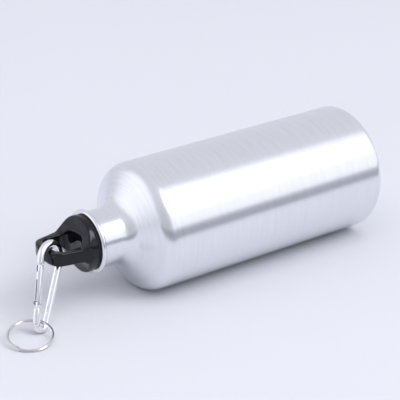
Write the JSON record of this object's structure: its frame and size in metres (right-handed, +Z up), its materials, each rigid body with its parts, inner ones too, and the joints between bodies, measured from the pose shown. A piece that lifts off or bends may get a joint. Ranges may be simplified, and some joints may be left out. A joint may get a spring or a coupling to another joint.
{
  "type": "aluminium water bottle",
  "caption": "Brushed aluminium canteen with a screw cap, carry loop, sprung-gate carabiner and split key ring, lying on its side.",
  "frame": {"origin": "on the surface it lies on, under the middle of the whole object's bounding box", "axes": "+X along the bottle's axis towards its base, so the cap and the carabiner are towards -X; +Z up, across the bottle"},
  "size_m": [0.2444, 0.073, 0.073],
  "materials": {
    "brushed_aluminium": "satin, brushed round the body",
    "polished_aluminium": "polished",
    "black_plastic": "glossy moulded",
    "grey_plastic": "moulded",
    "dark_silicone": "soft matt",
    "pin_steel": "bright drawn",
    "spring_steel": "drawn wire",
    "nickel_plate": "nickel plated"
  },
  "bodies": {
    "bottle": {"bottle_shell": "brushed_aluminium"},
    "seal": {"sealing_gasket": "dark_silicone"},
    "cap": {"cap_shell": "black_plastic", "threaded_plug": "grey_plastic"},
    "carabiner": {"carabiner_frame": "polished_aluminium", "gate_hinge_rivet": "pin_steel"},
    "gate": {"gate_sleeve": "polished_aluminium", "gate_latch_pin": "pin_steel", "spring_plunger": "pin_steel", "gate_spring": "spring_steel"},
    "key_ring": {"split_key_ring": "nickel_plate"}
  },
  "joints": [
    {"name": "cap_lift", "type": "slide", "parent": "bottle", "child": "seal", "axis": [-1, 0, 0], "range_m": [0, 0.048]},
    {"name": "cap_turn", "type": "hinge", "parent": "seal", "child": "cap", "pos_m": [-0.06223, 0, 0.0365], "axis": [-1, 0, 0], "range_deg": [0, 4320]},
    {"name": "carabiner_swing", "type": "hinge", "parent": "cap", "child": "carabiner", "pos_m": [-0.08615, -0.0043, 0.0357], "axis": [0.3397, -0.9263, 0.1631], "range_deg": [-160, 50]},
    {"name": "gate_open", "type": "hinge", "parent": "carabiner", "child": "gate", "pos_m": [-0.10004, -0.01274, 0.0167], "axis": [-0.3397, 0.9263, -0.1631], "range_deg": [0, 28], "stiffness_Nm_per_rad": 0.004, "springref_deg": -22.92},
    {"name": "key_ring_swing", "type": "hinge", "parent": "carabiner", "child": "key_ring", "pos_m": [-0.09947, -0.01443, 0.00593], "axis": [0.5059, -0.8559, -0.1075], "range_deg": [-90, 150]}
  ],
  "couplings": [
    {"joint": "cap_lift", "follows": "cap_turn", "m_per_rad": 0.00063662}
  ]
}
